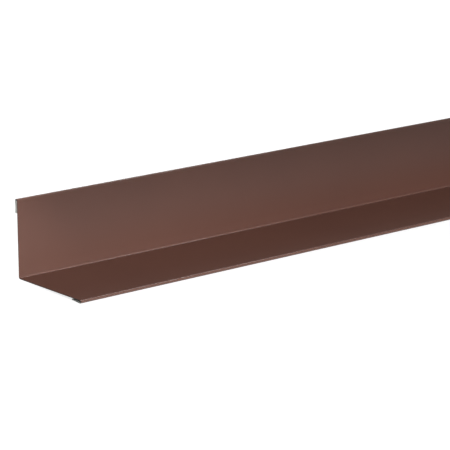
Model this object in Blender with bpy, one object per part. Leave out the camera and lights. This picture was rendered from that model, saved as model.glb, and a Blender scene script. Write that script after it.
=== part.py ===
"""An inside corner trim: one length of colour-coated sheet steel, folded to an L with a hem along each edge.

Metres, +Z up. The trim lies as it would on a level floor, on the outside of its bend and on the fold of
its base hem, which is why it leans back by about a degree and a half. X runs along the trim, the wall leg
stands at the back and the base leg reaches towards -Y. The origin is on the floor, under the middle of the
box that the trim fills.
"""

import math

import bmesh
import bpy
from mathutils import Matrix, Vector

# The stock
LENGTH = 2.0
SHEET = 0.0005  # the steel with its coating

# The section, each leg from the outer corner to the outside of its fold
WALL_LEG = 0.055
BASE_LEG = 0.070
BEND_RADIUS = 0.0010  # inside the right angle between the legs

# The hems, folded back against the reverse, each from the outside of its fold to its cut edge
WALL_HEM = 0.010
WALL_HEM_GAP = 0.0014  # open and parallel to the leg
BASE_HEM = 0.010
BASE_HEM_GAP = 0.0013  # beside the fold
BASE_HEM_EDGE_GAP = 0.0006  # at the cut edge, which is pressed nearer to the leg

FACET = math.radians(11.25)  # the most that one facet of a bend turns

# The finish
COAT_COLOUR = (0.098, 0.052, 0.038)  # chocolate brown, linear
COAT_ROUGHNESS = 0.42
SMOOTH_UP_TO = math.radians(30)  # bends are shaded smooth, cut edges sharp


def outer_radius(inside_radius):
    """The radius on the outside of a bend in the sheet."""
    return inside_radius + SHEET


CORNER_RADIUS = outer_radius(BEND_RADIUS)
WALL_FOLD_RADIUS = outer_radius(WALL_HEM_GAP / 2)
BASE_FOLD_RADIUS = outer_radius(BASE_HEM_GAP / 2)
OVERBEND = math.asin((BASE_HEM_GAP - BASE_HEM_EDGE_GAP) / (BASE_HEM - BASE_FOLD_RADIUS))


def clear_scene():
    """Removes every object, so that the script can be run again."""
    for item in list(bpy.data.objects):
        bpy.data.objects.remove(item, do_unlink=True)


class Strip:
    """A sheet as it is folded: its leading edge is carried on in straight runs, and in bends about X."""

    def __init__(self, length, thickness, start):
        """Starts an upright sheet with the middle of its lower edge at start, to be carried upwards."""
        self.mesh = bmesh.new()
        self.thickness = thickness
        self.middle = Vector(start)
        self.heading = Vector((0, 0, 1))
        across = Vector((length / 2, 0, 0))
        through = Vector((0, thickness / 2, 0))
        corners = (-across - through, across - through, across + through, through - across)
        self.edge = self.mesh.faces.new([self.mesh.verts.new(self.middle + corner) for corner in corners])

    def whole_edge(self):
        """The leading edge face with its sides and corners, so that an operator leaves no face inside."""
        return [self.edge, *self.edge.edges, *self.edge.verts]

    def run(self, distance):
        """Carries the sheet straight on."""
        made = bmesh.ops.extrude_face_region(self.mesh, geom=self.whole_edge())["geom"]
        self.edge = next(item for item in made if isinstance(item, bmesh.types.BMFace))
        bmesh.ops.translate(self.mesh, verts=self.edge.verts, vec=self.heading * distance)
        self.middle += self.heading * distance

    def bend(self, inside_radius, angle):
        """Turns the sheet by an angle about +X, with this radius on the inside of the bend."""
        inwards = Matrix.Rotation(math.copysign(math.pi / 2, angle), 3, "X") @ self.heading
        centre = self.middle + inwards * (inside_radius + self.thickness / 2)
        made = bmesh.ops.spin(
            self.mesh,
            geom=self.whole_edge(),
            cent=centre,
            axis=(1, 0, 0),
            angle=angle,
            steps=math.ceil(abs(angle) / FACET),
        )["geom_last"]
        self.edge = next(item for item in made if isinstance(item, bmesh.types.BMFace))
        turn = Matrix.Rotation(angle, 3, "X")
        self.middle = centre + turn @ (self.middle - centre)
        self.heading = turn @ self.heading


def folded_sheet():
    """The section swept from the cut edge of the wall hem to that of the base hem.

    The back of the wall leg is at y = 0, and the underside of the base leg is at z = 0.
    """
    strip = Strip(LENGTH, SHEET, start=(0, WALL_HEM_GAP + SHEET / 2, WALL_LEG - WALL_HEM))
    strip.run(WALL_HEM - WALL_FOLD_RADIUS)
    strip.bend(WALL_HEM_GAP / 2, math.pi)
    strip.run(WALL_LEG - WALL_FOLD_RADIUS - CORNER_RADIUS)
    strip.bend(BEND_RADIUS, -math.pi / 2)
    strip.run(BASE_LEG - BASE_FOLD_RADIUS - CORNER_RADIUS)
    strip.bend(BASE_HEM_GAP / 2, math.pi + OVERBEND)
    strip.run(BASE_HEM - BASE_FOLD_RADIUS)
    bmesh.ops.recalc_face_normals(strip.mesh, faces=strip.mesh.faces)
    return strip.mesh


def resting_lean():
    """The turn about +X that levels the line which touches the outer bend and the base hem's fold below."""
    across = BASE_LEG - BASE_FOLD_RADIUS - CORNER_RADIUS
    rise = CORNER_RADIUS + BASE_FOLD_RADIUS - SHEET
    apart = math.hypot(across, rise)
    return math.asin((CORNER_RADIUS - BASE_FOLD_RADIUS) / apart) - math.atan2(rise, across)


def lay_on_floor(mesh):
    """Leans the section as it rests, and brings the middle of its width and its lowest line to the origin."""
    bmesh.ops.rotate(mesh, verts=mesh.verts, matrix=Matrix.Rotation(resting_lean(), 3, "X"))
    widths = [vert.co.y for vert in mesh.verts]
    lowest = min(vert.co.z for vert in mesh.verts)
    bmesh.ops.translate(mesh, verts=mesh.verts, vec=(0, -(min(widths) + max(widths)) / 2, -lowest))


def coat_material():
    """The baked polyester coat of the visible side."""
    material = bpy.data.materials.new("polyester_coat")
    material.use_nodes = True
    shader = material.node_tree.nodes["Principled BSDF"]
    shader.inputs["Base Color"].default_value = (*COAT_COLOUR, 1)
    shader.inputs["Roughness"].default_value = COAT_ROUGHNESS
    shader.inputs["Metallic"].default_value = 0.0
    return material


def corner_trim():
    """The whole trim, which is one piece of steel."""
    folded = folded_sheet()
    lay_on_floor(folded)
    mesh = bpy.data.meshes.new("corner_trim")
    folded.to_mesh(mesh)
    folded.free()
    mesh.materials.append(coat_material())
    mesh.shade_smooth()
    mesh.set_sharp_from_angle(angle=SMOOTH_UP_TO)
    trim = bpy.data.objects.new("corner_trim", mesh)
    bpy.context.collection.objects.link(trim)
    return trim


clear_scene()
corner_trim()
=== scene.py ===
"""The looks of an inside corner trim: a long L of brown coated sheet steel with a hem along each free edge.

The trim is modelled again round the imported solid, from the same sizes and in the same place, as the sheet
that it is: a colour coat on the side that shows, a steel core, and a grey backing coat on the reverse.
"""

from __future__ import annotations

import logging
import math
from dataclasses import dataclass, field
from enum import Enum
from typing import Any

import bpy
from mathutils import Matrix, Vector

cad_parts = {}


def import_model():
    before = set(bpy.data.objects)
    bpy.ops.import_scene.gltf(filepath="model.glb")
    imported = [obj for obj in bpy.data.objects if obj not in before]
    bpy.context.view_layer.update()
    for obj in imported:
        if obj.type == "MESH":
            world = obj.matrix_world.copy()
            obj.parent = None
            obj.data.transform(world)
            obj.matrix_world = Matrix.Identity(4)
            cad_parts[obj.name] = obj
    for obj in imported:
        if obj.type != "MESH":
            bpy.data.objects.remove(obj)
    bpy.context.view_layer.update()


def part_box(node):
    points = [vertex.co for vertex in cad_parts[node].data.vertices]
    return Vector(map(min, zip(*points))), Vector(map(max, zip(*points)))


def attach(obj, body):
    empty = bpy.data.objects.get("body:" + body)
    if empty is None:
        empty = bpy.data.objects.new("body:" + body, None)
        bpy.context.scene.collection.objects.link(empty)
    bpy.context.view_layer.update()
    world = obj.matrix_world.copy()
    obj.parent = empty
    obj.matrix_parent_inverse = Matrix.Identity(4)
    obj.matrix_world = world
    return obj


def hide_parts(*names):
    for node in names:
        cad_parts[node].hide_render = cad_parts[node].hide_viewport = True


LOG = logging.getLogger("corner_trim")
MM = 0.001
NODE = "corner_trim"
WHITE = "ffffff"


class Slot(Enum):
    """The material slot of each finish of the sheet."""

    COAT = 0
    STEEL = 1
    BACKING = 2
    WORKED_COAT = 3


def linear_colour(code: str) -> tuple[float, float, float, float]:
    """Turns an sRGB colour to a linear one.

    Args:
        code: Six hex digits, two for each of red, green and blue.

    Returns:
        Linear red, green and blue, and an alpha of 1.
    """
    shares = [int(code[at : at + 2], 16) / 255 for at in (0, 2, 4)]
    red, green, blue = (
        share / 12.92 if share <= 0.04045 else ((share + 0.055) / 1.055) ** 2.4 for share in shares
    )
    return red, green, blue, 1.0


def add_node(
    tree: bpy.types.NodeTree,
    kind: str,
    inputs: dict[str | int, Any] | None = None,
    **settings: Any,
) -> bpy.types.Node:
    """Adds a node with its settings, values and links.

    Args:
        tree: The node tree that takes the node.
        kind: The node's type.
        inputs: A value for each input, or the output socket that feeds it, by the input's name or number.
        **settings: The node's own properties.

    Returns:
        The new node.
    """
    node = tree.nodes.new(kind)
    for name, value in settings.items():
        setattr(node, name, value)
    for name, value in (inputs or {}).items():
        if isinstance(value, bpy.types.NodeSocket):
            tree.links.new(value, node.inputs[name])
        else:
            node.inputs[name].default_value = value
    return node


def new_material(name: str) -> tuple[bpy.types.Material, bpy.types.NodeTree, bpy.types.Node]:
    """Makes a material that is a Principled shader alone.

    Args:
        name: The finish's name.

    Returns:
        The material, its node tree and its Principled node.
    """
    material = bpy.data.materials.new(name)
    material.use_nodes = True
    tree = material.node_tree
    tree.nodes.clear()
    shader = add_node(tree, "ShaderNodeBsdfPrincipled")
    add_node(tree, "ShaderNodeOutputMaterial", {"Surface": shader.outputs["BSDF"]})
    return material, tree, shader


def add_noise(
    tree: bpy.types.NodeTree,
    place: bpy.types.NodeSocket,
    size: float,
    detail: float,
    roughness: float,
) -> bpy.types.NodeSocket:
    """Adds a noise pattern.

    Args:
        tree: The node tree that takes the pattern.
        place: The coordinates that it is laid on.
        size: The size of its spots, in the units of the coordinates.
        detail: How many finer patterns lie over it.
        roughness: How strongly the finer ones show.

    Returns:
        The pattern, between 0 and 1.
    """
    noise = add_node(
        tree,
        "ShaderNodeTexNoise",
        {"Vector": place, "Scale": 1 / size, "Detail": detail, "Roughness": roughness},
    )
    return noise.outputs["Fac"]


def tint(
    tree: bpy.types.NodeTree,
    shader: bpy.types.Node,
    pattern: bpy.types.NodeSocket,
    dark: str,
    light: str,
) -> None:
    """Colours a shader with two tones.

    Args:
        tree: The shader's node tree.
        shader: The Principled node.
        pattern: How much of the light tone shows, between 0 and 1.
        dark: The dark tone, as six hex digits.
        light: The light tone, as six hex digits.
    """
    tones = add_node(
        tree,
        "ShaderNodeMix",
        {"Factor": pattern, "A": linear_colour(dark), "B": linear_colour(light)},
        data_type="RGBA",
    )
    tree.links.new(tones.outputs["Result"], shader.inputs["Base Color"])


@dataclass(frozen=True)
class PolyesterCoat:
    """Coil-coated polyester, rolled on and baked: a satin skin with a fine, shallow orange peel.

    Its tone drifts very slightly from place to place. Drawn round the outside of a tight fold, or pressed
    into the inside of the bend by the folding machine's nose, the same film is smoother, which gives those
    lines a harder shine.
    """

    name: str = "polyester_coat"
    light: str = "593a30"
    dark: str = "52352c"
    ior: float = 1.36
    roughness: float = 0.33
    peel_size: float = 0.9 * MM
    peel_depth: float = 0.004 * MM
    cloud_size: float = 60 * MM

    def material(self) -> bpy.types.Material:
        """Builds the coat.

        Returns:
            The material.
        """
        material, tree, shader = new_material(self.name)
        place = add_node(tree, "ShaderNodeTexCoord").outputs["Object"]
        clouds = add_noise(tree, place, self.cloud_size, detail=3.0, roughness=0.5)
        tint(tree, shader, clouds, self.dark, self.light)
        peel = add_noise(tree, place, self.peel_size, detail=2.0, roughness=0.45)
        bump = add_node(
            tree,
            "ShaderNodeBump",
            {"Height": peel, "Strength": 1.0, "Distance": self.peel_depth},
        )
        tree.links.new(bump.outputs["Normal"], shader.inputs["Normal"])
        shader.inputs["Roughness"].default_value = self.roughness
        shader.inputs["IOR"].default_value = self.ior
        return material


@dataclass(frozen=True)
class BackingCoat:
    """The thin grey epoxy coat on the reverse of coated sheet, matt and faintly streaked along the coil."""

    light: str = "b4b3ae"
    dark: str = "a6a5a0"
    ior: float = 1.4
    roughness: float = 0.65
    streak_width: float = 3 * MM
    streak_length: float = 180 * MM

    def material(self) -> bpy.types.Material:
        """Builds the backing coat.

        Returns:
            The material.
        """
        material, tree, shader = new_material("backing_coat")
        stretched = add_node(
            tree,
            "ShaderNodeMapping",
            {
                "Vector": add_node(tree, "ShaderNodeTexCoord").outputs["Object"],
                "Scale": (1 / self.streak_length, 1 / self.streak_width, 1 / self.streak_width),
            },
        )
        streaks = add_noise(tree, stretched.outputs["Vector"], size=1.0, detail=4.0, roughness=0.6)
        tint(tree, shader, streaks, self.dark, self.light)
        shader.inputs["Roughness"].default_value = self.roughness
        shader.inputs["IOR"].default_value = self.ior
        return material


@dataclass(frozen=True)
class ShearedSteelPaintedShade:
    """The bare steel of a sheared edge, dull with a fine grain, coloured near black as painted shade on the
    cut edges.
    """

    # Both tones are painted shade: far darker than bare steel, standing in for the shade on the cut edges.
    light: str = "3d3a38"
    dark: str = "221f1e"
    roughness: float = 0.5
    grain_size: float = 0.12 * MM

    def material(self) -> bpy.types.Material:
        """Builds the sheared edge.

        Returns:
            The material.
        """
        material, tree, shader = new_material("sheared_steel_painted_shade")
        place = add_node(tree, "ShaderNodeTexCoord").outputs["Object"]
        grain = add_noise(tree, place, self.grain_size, detail=2.0, roughness=0.6)
        # Painted shade: the grain lies between two near-black tones that stand in for the cut edges' shade.
        tint(tree, shader, grain, self.dark, self.light)
        shader.inputs["Roughness"].default_value = self.roughness
        shader.inputs["Metallic"].default_value = 1.0
        return material


@dataclass
class CornerTrim:
    """The trim: its section's sizes, and the steps that fold and dress it."""

    length: float = 2000 * MM
    sheet: float = 0.5 * MM
    wall_leg: float = 55 * MM
    base_leg: float = 70 * MM
    bend_radius: float = 1.0 * MM
    wall_hem: float = 10 * MM
    wall_hem_gap: float = 1.4 * MM
    base_hem: float = 10 * MM
    base_hem_gap: float = 1.3 * MM
    base_hem_edge_gap: float = 0.6 * MM
    coat_depth: float = 0.06 * MM
    backing_depth: float = 0.04 * MM
    edge_radius: float = 0.03 * MM
    edge_segments: int = 3
    facet: float = math.radians(6)
    landing: float = 0.2 * MM
    cut_tolerance: float = 0.001 * MM
    sharp_above: float = math.radians(60)
    smooth_below: float = math.radians(40)
    coat: PolyesterCoat = field(default_factory=PolyesterCoat)
    worked_coat: PolyesterCoat = field(
        default_factory=lambda: PolyesterCoat(name="worked_coat", ior=1.5, roughness=0.22)
    )
    steel: ShearedSteelPaintedShade = field(default_factory=ShearedSteelPaintedShade)
    backing: BackingCoat = field(default_factory=BackingCoat)

    def __post_init__(self) -> None:
        """Works out the outside radii of the bends, the base hem's fold past a half turn, and the start."""
        self.corner = self.bend_radius + self.sheet
        self.wall_fold = self.wall_hem_gap / 2 + self.sheet
        self.base_fold = self.base_hem_gap / 2 + self.sheet
        closing = self.base_hem_gap - self.base_hem_edge_gap
        self.overbend = math.asin(closing / (self.base_hem - self.base_fold))
        self.middle = Vector((0, self.wall_hem_gap + self.sheet / 2, self.wall_leg - self.wall_hem))
        self.heading = Vector((0, 0, 1))
        self.coated_arcs: list[tuple[Vector, float]] = []

    def build(self) -> bpy.types.Object:
        """Models, places and dresses the trim.

        Returns:
            The finished piece.
        """
        piece = self.cut_edge()
        bpy.ops.object.mode_set(mode="EDIT")
        self.fold()
        self.round_edges()
        bpy.ops.mesh.select_all(action="SELECT")
        bpy.ops.mesh.normals_make_consistent(inside=False)
        bpy.ops.object.mode_set(mode="OBJECT")
        self.dress_arcs(piece)
        self.lay_on_floor(piece)
        bpy.ops.object.shade_smooth_by_angle(angle=self.smooth_below)
        return piece

    def cut_edge(self) -> bpy.types.Object:
        """Lays out the sheet's first cut edge as a strip of three layers, dressed for what each becomes.

        Returns:
            The new object, in object mode.
        """
        bpy.ops.object.select_all(action="DESELECT")
        bpy.ops.mesh.primitive_plane_add(size=1, location=self.middle)
        piece = bpy.context.active_object
        piece.name = "coated_trim"
        piece.scale = (self.length, self.sheet, 1)
        bpy.ops.object.transform_apply(location=True, rotation=True, scale=True)
        under_coat = self.middle.y + self.sheet / 2 - self.coat_depth
        over_backing = self.middle.y - self.sheet / 2 + self.backing_depth
        bpy.ops.object.mode_set(mode="EDIT")
        for border in (under_coat, over_backing):
            bpy.ops.mesh.select_all(action="SELECT")
            bpy.ops.mesh.bisect(
                plane_co=(0, border, self.middle.z),
                plane_no=(0, 1, 0),
                threshold=self.cut_tolerance,
            )
        bpy.ops.object.mode_set(mode="OBJECT")
        for slot, finish in (
            (Slot.COAT, self.coat),
            (Slot.STEEL, self.steel),
            (Slot.BACKING, self.backing),
            (Slot.WORKED_COAT, self.worked_coat),
        ):
            piece.data.materials.append(finish.material())
            LOG.info("slot %d: %s", slot.value, slot.name)
        for face in piece.data.polygons:
            if face.center.y > under_coat:
                face.material_index = Slot.COAT.value
            elif face.center.y < over_backing:
                face.material_index = Slot.BACKING.value
            else:
                face.material_index = Slot.STEEL.value
        return piece

    def run(self, distance: float) -> None:
        """Carries the selected edge straight on, with a short landing at each end that keeps the leg flat.

        Args:
            distance: How far, in metres.
        """
        for step in (self.landing, distance - 2 * self.landing, self.landing):
            bpy.ops.mesh.extrude_region_move(TRANSFORM_OT_translate={"value": self.heading * step})
        self.middle += self.heading * distance

    def bend(self, inside_radius: float, angle: float) -> None:
        """Turns the selected edge about an axis along X, and notes where the coat goes round it.

        Args:
            inside_radius: The radius on the inside of the bend.
            angle: The turn about +X, in radians. The coat is outside where it is positive.
        """
        inwards = Matrix.Rotation(math.copysign(math.pi / 2, angle), 3, "X") @ self.heading
        centre = self.middle + inwards * (inside_radius + self.sheet / 2)
        self.coated_arcs.append((centre, inside_radius + self.sheet if angle > 0 else inside_radius))
        steps = math.ceil(abs(angle) / self.facet)
        bpy.ops.mesh.spin(steps=steps, angle=-angle, center=centre, axis=(1, 0, 0))
        turn = Matrix.Rotation(angle, 3, "X")
        self.middle = centre + turn @ (self.middle - centre)
        self.heading = turn @ self.heading

    def fold(self) -> None:
        """Carries the first cut edge through the whole section to the other one."""
        bpy.ops.mesh.select_mode(type="FACE")
        bpy.ops.mesh.select_all(action="SELECT")
        self.run(self.wall_hem - self.wall_fold)
        self.bend(self.wall_hem_gap / 2, math.pi)
        self.run(self.wall_leg - self.wall_fold - self.corner)
        self.bend(self.bend_radius, -math.pi / 2)
        self.run(self.base_leg - self.base_fold - self.corner)
        self.bend(self.base_hem_gap / 2, math.pi + self.overbend)
        self.run(self.base_hem - self.base_fold)

    def round_edges(self) -> None:
        """Breaks the sheet's cut edges, at both ends and along both hems, with a very small radius."""
        bpy.ops.mesh.select_mode(type="EDGE")
        bpy.ops.mesh.select_all(action="DESELECT")
        bpy.ops.mesh.edges_select_sharp(sharpness=self.sharp_above)
        bpy.ops.mesh.bevel(offset=self.edge_radius, segments=self.edge_segments, affect="EDGES")

    def dress_arcs(self, piece: bpy.types.Object) -> None:
        """Gives the coat round each fold and in the bend its own finish.

        Args:
            piece: The folded trim, before it is laid down.
        """
        nearness = self.edge_radius / 2
        for face in piece.data.polygons:
            corners = [piece.data.vertices[index].co for index in face.vertices]
            for centre, radius in self.coated_arcs:
                across = [math.hypot(corner.y - centre.y, corner.z - centre.z) for corner in corners]
                if max(abs(reach - radius) for reach in across) < nearness:
                    face.material_index = Slot.WORKED_COAT.value

    def lean(self) -> float:
        """Finds how far the trim leans as it lies on its outer bend and on the base hem's fold.

        Returns:
            The turn about +X, in radians.
        """
        across = self.base_leg - self.base_fold - self.corner
        rise = self.corner + self.base_fold - self.sheet
        apart = math.hypot(across, rise)
        return math.asin((self.corner - self.base_fold) / apart) - math.atan2(rise, across)

    def lay_on_floor(self, piece: bpy.types.Object) -> None:
        """Leans the trim as it rests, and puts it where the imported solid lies.

        Args:
            piece: The folded trim.
        """
        piece.data.transform(Matrix.Rotation(self.lean(), 4, "X"))
        low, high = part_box(NODE)
        across = [vertex.co.y for vertex in piece.data.vertices]
        lowest = min(vertex.co.z for vertex in piece.data.vertices)
        middle = (min(across) + max(across)) / 2
        piece.data.transform(Matrix.Translation((0, (low[1] + high[1]) / 2 - middle, low[2] - lowest)))


@dataclass(frozen=True)
class Lamp:
    """A soft box: where its middle is, what it faces, its size, its strength and how wide it throws."""

    name: str
    place: tuple[float, float, float]
    target: tuple[float, float, float]
    width: float
    height: float
    watts: float
    spread: float = math.radians(180)

    def build(self) -> None:
        """Adds the lamp."""
        bpy.ops.object.light_add(type="AREA", location=self.place)
        lamp = bpy.context.active_object
        lamp.name = self.name
        aim = Vector(self.target) - Vector(self.place)
        lamp.rotation_euler = aim.to_track_quat("-Z", "Y").to_euler()
        lamp.data.shape = "RECTANGLE"
        lamp.data.size = self.width
        lamp.data.size_y = self.height
        lamp.data.energy = self.watts
        lamp.data.spread = self.spread
        lamp.visible_camera = False


def seen_directly(tree: bpy.types.NodeTree) -> bpy.types.NodeSocket:
    """Adds a switch that is 1 where a camera, glossy or transmission ray meets the background, and else 0.

    Args:
        tree: The node tree of the background.

    Returns:
        The switch's output.
    """
    path = add_node(tree, "ShaderNodeLightPath")
    gloss = add_node(
        tree,
        "ShaderNodeMath",
        {0: path.outputs["Is Camera Ray"], 1: path.outputs["Is Glossy Ray"]},
        operation="MAXIMUM",
    )
    glass = add_node(
        tree,
        "ShaderNodeMath",
        {0: gloss.outputs["Value"], 1: path.outputs["Is Transmission Ray"]},
        operation="MAXIMUM",
    )
    return glass.outputs["Value"]


@dataclass(frozen=True)
class PaperFloor:
    """Matt background paper, lit as a mid grey that throws little light up, and shown nearly white."""

    colour: str = "898989"
    roughness: float = 0.9
    shown: float = 0.78

    def material(self) -> bpy.types.Material:
        """Builds the paper.

        Returns:
            The material.
        """
        material, tree, shader = new_material("background_paper")
        shader.inputs["Base Color"].default_value = linear_colour(self.colour)
        shader.inputs["Roughness"].default_value = self.roughness
        shader.inputs["Emission Color"].default_value = linear_colour(WHITE)
        glow = add_node(
            tree,
            "ShaderNodeMath",
            {0: seen_directly(tree), 1: self.shown},
            operation="MULTIPLY",
        )
        tree.links.new(glow.outputs["Value"], shader.inputs["Emission Strength"])
        return material


@dataclass(frozen=True)
class Studio:
    """The floor, the soft light and the camera.

    The low strip is the wall leg's main light, and the left strip adds to its near end. The side box is the
    base leg's main light. The top box adds to it, and draws bright lines along the bend and the front fold.
    The end spot picks out the near end. The far box and the back box light the far half and the reverse.
    """

    floor_size: float = 120.0
    paper: PaperFloor = field(default_factory=PaperFloor)
    lamps: tuple[Lamp, ...] = (
        Lamp("side_box", (-1.35, -0.35, 0.92), (-0.98, 0.02, 0.02), 0.2, 0.2, 5.0),
        Lamp("end_spot", (-1.3, -0.3, 0.5), (-1.005, 0.034, 0.05), 0.02, 0.02, 0.004, math.radians(6)),
        Lamp("left_strip", (-1.5, -0.9, 0.3), (-1.5, 0.03, -0.02), 1.4, 0.05, 0.45, math.radians(30)),
        Lamp("low_strip", (-0.1, -1.0, 0.06), (-0.1, 0.03, -0.05), 2.4, 0.05, 1.28, math.radians(14)),
        Lamp("top_box", (-0.22, -0.278, 1.576), (-0.95, 0.0, 0.02), 0.3, 0.5, 4.8),
        Lamp("far_box", (0.65, -0.6, 1.1), (0.6, 0.0, 0.02), 1.0, 0.4, 3.0, math.radians(60)),
        Lamp("back_box", (-0.1, 2.0, 0.5), (-0.1, 0.0, 0.03), 2.0, 0.8, 42.0),
    )
    sky_light: float = 0.3
    sky_shown: float = 0.6
    eye: tuple[float, float, float] = (-1.81684, -1.14768, 0.43788)
    yaw: float = math.radians(40.165)
    pitch: float = math.radians(15.570)
    roll: float = math.radians(0.887)
    lens: float = 178.51
    sight: float = 200.0

    def build(self) -> None:
        """Sets up the floor, lamps, world, camera and view."""
        self.floor()
        for lamp in self.lamps:
            lamp.build()
        self.sky()
        self.camera()
        bpy.context.scene.view_settings.view_transform = "Standard"

    def floor(self) -> None:
        """Lays the background paper as a plain floor that reaches past every view."""
        bpy.ops.mesh.primitive_plane_add(size=self.floor_size)
        floor = bpy.context.active_object
        floor.name = "floor"
        floor.data.materials.append(self.paper.material())

    def sky(self) -> None:
        """Gives the world an even light, which shows as a paler one than it throws."""
        world = bpy.data.worlds.new("studio")
        world.use_nodes = True
        tree = world.node_tree
        strength = add_node(
            tree,
            "ShaderNodeMapRange",
            {"Value": seen_directly(tree), "To Min": self.sky_light, "To Max": self.sky_shown},
        )
        background = tree.nodes["Background"]
        background.inputs["Color"].default_value = linear_colour(WHITE)
        tree.links.new(strength.outputs["Result"], background.inputs["Strength"])
        bpy.context.scene.world = world

    def camera(self) -> None:
        """Puts the camera where the photograph was taken from."""
        forward = Vector(
            (
                math.sin(self.yaw) * math.cos(self.pitch),
                math.cos(self.yaw) * math.cos(self.pitch),
                -math.sin(self.pitch),
            )
        )
        right = Vector((math.cos(self.yaw), -math.sin(self.yaw), 0))
        up = right.cross(forward)
        tilted_right = right * math.cos(self.roll) + up * math.sin(self.roll)
        tilted_up = up * math.cos(self.roll) - right * math.sin(self.roll)
        bpy.ops.object.camera_add(location=self.eye)
        camera = bpy.context.active_object
        camera.name = "photo_view"
        camera.rotation_euler = Matrix((tilted_right, tilted_up, -forward)).transposed().to_euler()
        camera.data.lens = self.lens
        camera.data.clip_end = self.sight
        bpy.context.scene.camera = camera


def main() -> None:
    """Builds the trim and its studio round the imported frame."""
    logging.basicConfig(level=logging.INFO, format="%(message)s")
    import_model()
    trim = CornerTrim().build()
    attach(trim, "root")
    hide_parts(NODE)
    LOG.info("%s: %d faces", trim.name, len(trim.data.polygons))
    Studio().build()


if __name__ == "__main__":
    main()
